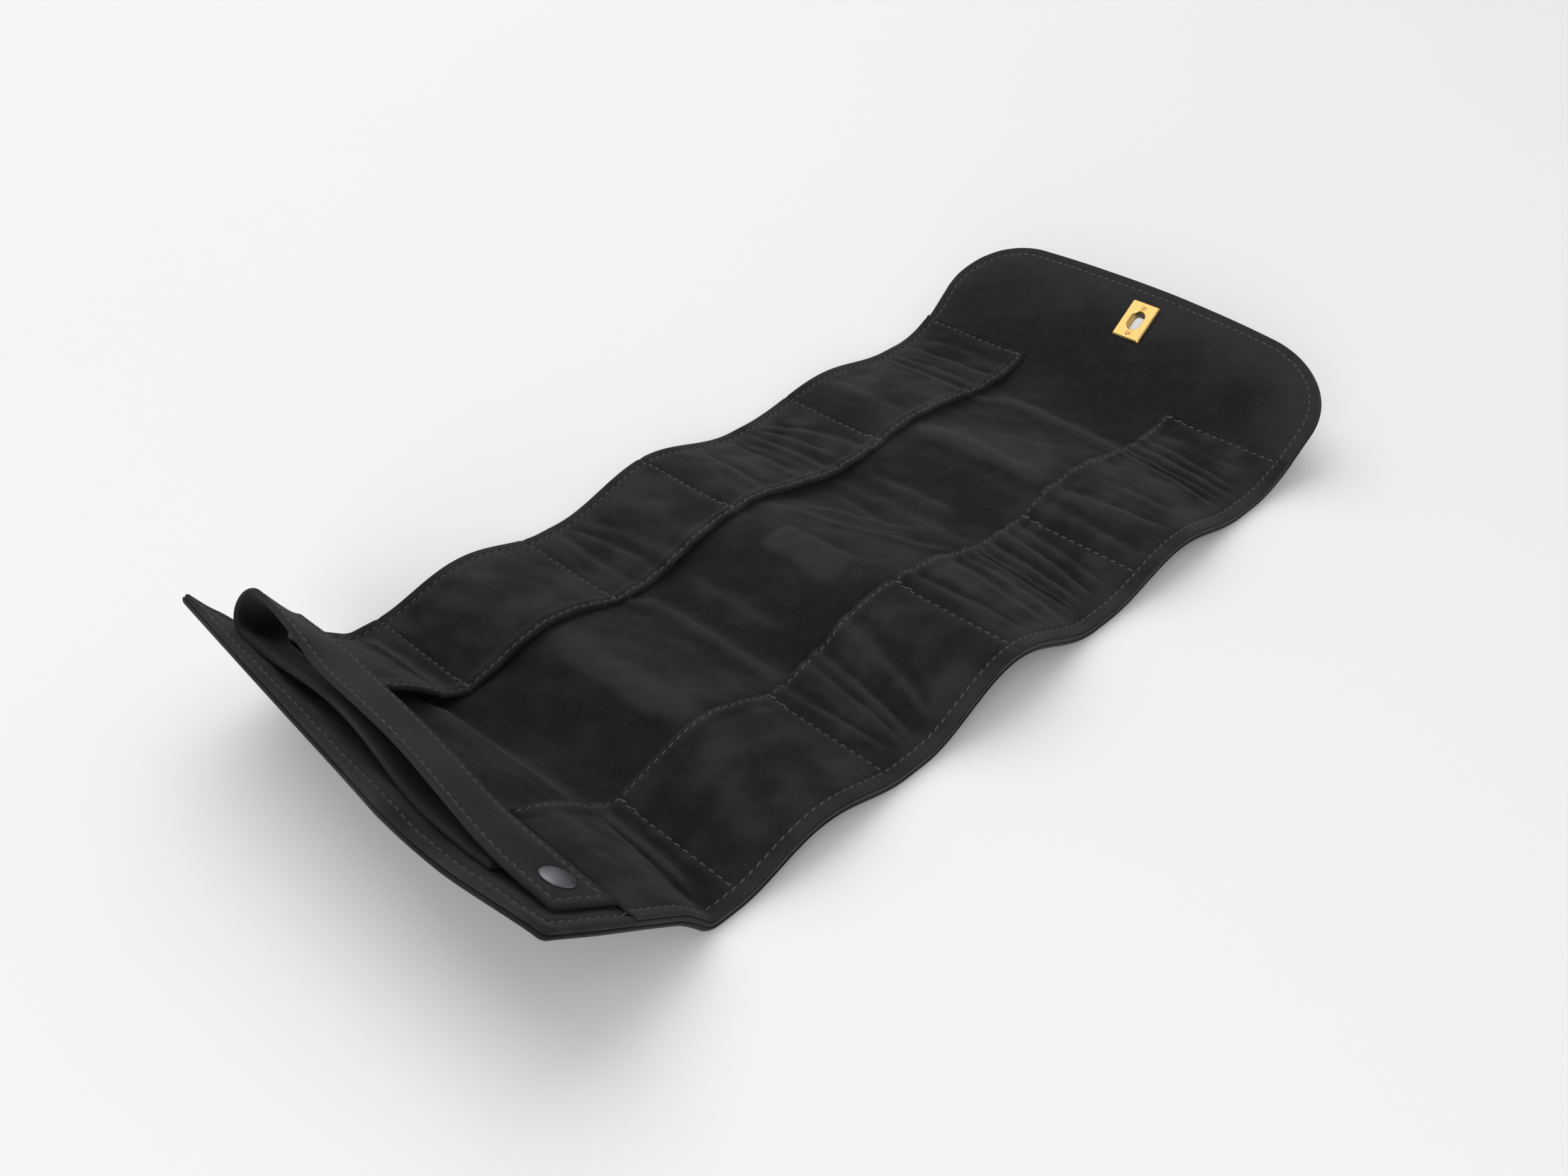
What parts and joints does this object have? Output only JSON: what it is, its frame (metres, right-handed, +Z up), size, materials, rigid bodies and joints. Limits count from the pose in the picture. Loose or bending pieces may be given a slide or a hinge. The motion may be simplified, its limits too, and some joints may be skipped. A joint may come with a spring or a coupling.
{
  "type": "suede travel roll",
  "caption": "Soft suede roll laid open, with pockets along both long sides, a snap-down ring strap at one end and a rounded flap with a turn-lock plate at the other.",
  "frame": {"origin": "under the middle of the whole roll, on the surface it lies on", "axes": "+X from the raised end to the flap, +Y to the far long side, +Z up out of the lining"},
  "size_m": [0.4028, 0.18, 0.0418],
  "materials": {
    "suede_shell": "napped black suede, matt",
    "suede_lining": "napped black suede, soft sheen where brushed",
    "interlining": "grey felt",
    "gilt": "polished gilt",
    "gunmetal": "dark gunmetal, satin"
  },
  "bodies": {
    "last_section": {"shell_last": "suede_shell", "interlining_last": "interlining", "lining_last": "suede_lining", "pocket_near_last": "suede_lining", "pocket_far_last": "suede_lining"},
    "middle_fall": {"shell_fall": "suede_shell", "interlining_fall": "interlining", "lining_fall": "suede_lining", "pocket_near_fall": "suede_lining", "pocket_far_fall": "suede_lining"},
    "middle_rise": {"shell_rise": "suede_shell", "interlining_rise": "interlining", "lining_rise": "suede_lining", "pocket_near_rise": "suede_lining", "pocket_far_rise": "suede_lining", "button_base": "gilt", "slot_guide": "gilt", "button_washer": "gunmetal"},
    "first_section": {"shell_first": "suede_shell", "interlining_first": "interlining", "lining_first": "suede_lining", "pocket_near_first": "suede_lining", "pocket_far_first": "suede_lining"},
    "end_section": {"shell_end": "suede_shell", "interlining_end": "interlining", "lining_end": "suede_lining", "pocket_near_end": "suede_lining", "pocket_far_end": "suede_lining", "strap_root": "suede_lining", "snap_stud": "gunmetal", "snap_eyelet": "gunmetal"},
    "flap": {"shell_flap": "suede_shell", "shell_flap_near": "suede_shell", "shell_flap_far": "suede_shell", "shell_flap_tip": "suede_shell", "interlining_flap": "interlining", "lining_flap": "suede_lining", "lining_flap_near": "suede_lining", "lining_flap_far": "suede_lining", "lining_flap_tip": "suede_lining", "pocket_near_flap": "suede_lining", "pocket_far_flap": "suede_lining", "lock_plate": "gilt", "lock_back_plate": "gilt", "plate_screw_inner": "gilt", "plate_screw_tip": "gilt"},
    "ring_strap": {"strap_back": "suede_lining", "strap_face": "suede_lining", "snap_cap": "gunmetal", "snap_socket": "gunmetal"},
    "button": {"turn_button": "gilt"}
  },
  "joints": [
    {"name": "roll_up", "type": "hinge", "parent": "last_section", "child": "middle_fall", "pos_m": [0.03719, 0, 0.005], "axis": [0, 1, 0], "range_deg": [0, 88]},
    {"name": "ridge_bend", "type": "hinge", "parent": "middle_fall", "child": "middle_rise", "pos_m": [-0.01181, 0, 0.0193], "axis": [0, 1, 0], "range_deg": [0, 66]},
    {"name": "first_fold", "type": "hinge", "parent": "middle_rise", "child": "first_section", "pos_m": [-0.06081, 0, 0.005], "axis": [0, 1, 0], "range_deg": [0, 82]},
    {"name": "end_fold", "type": "hinge", "parent": "first_section", "child": "end_section", "pos_m": [-0.13981, 0, 0.005], "axis": [0, 1, 0], "range_deg": [0, 104]},
    {"name": "flap_fold", "type": "hinge", "parent": "last_section", "child": "flap", "pos_m": [0.13119, 0, 0.005], "axis": [0, -1, 0], "range_deg": [-25, 62]},
    {"name": "strap_open", "type": "hinge", "parent": "end_section", "child": "ring_strap", "pos_m": [-0.17604, 0.084, 0.02967], "axis": [0.809, 0, -0.5878], "range_deg": [-165, 0]},
    {"name": "button_turn", "type": "hinge", "parent": "middle_rise", "child": "button", "pos_m": [-0.02281, 0, 0.01229], "axis": [0.3275, 0, -0.9449], "range_deg": [0, 90]}
  ],
  "couplings": [
    {"joint": "ridge_bend", "follows": "roll_up", "ratio": 0.75},
    {"joint": "first_fold", "follows": "roll_up", "ratio": 0.93},
    {"joint": "end_fold", "follows": "roll_up", "ratio": 1.18}
  ]
}
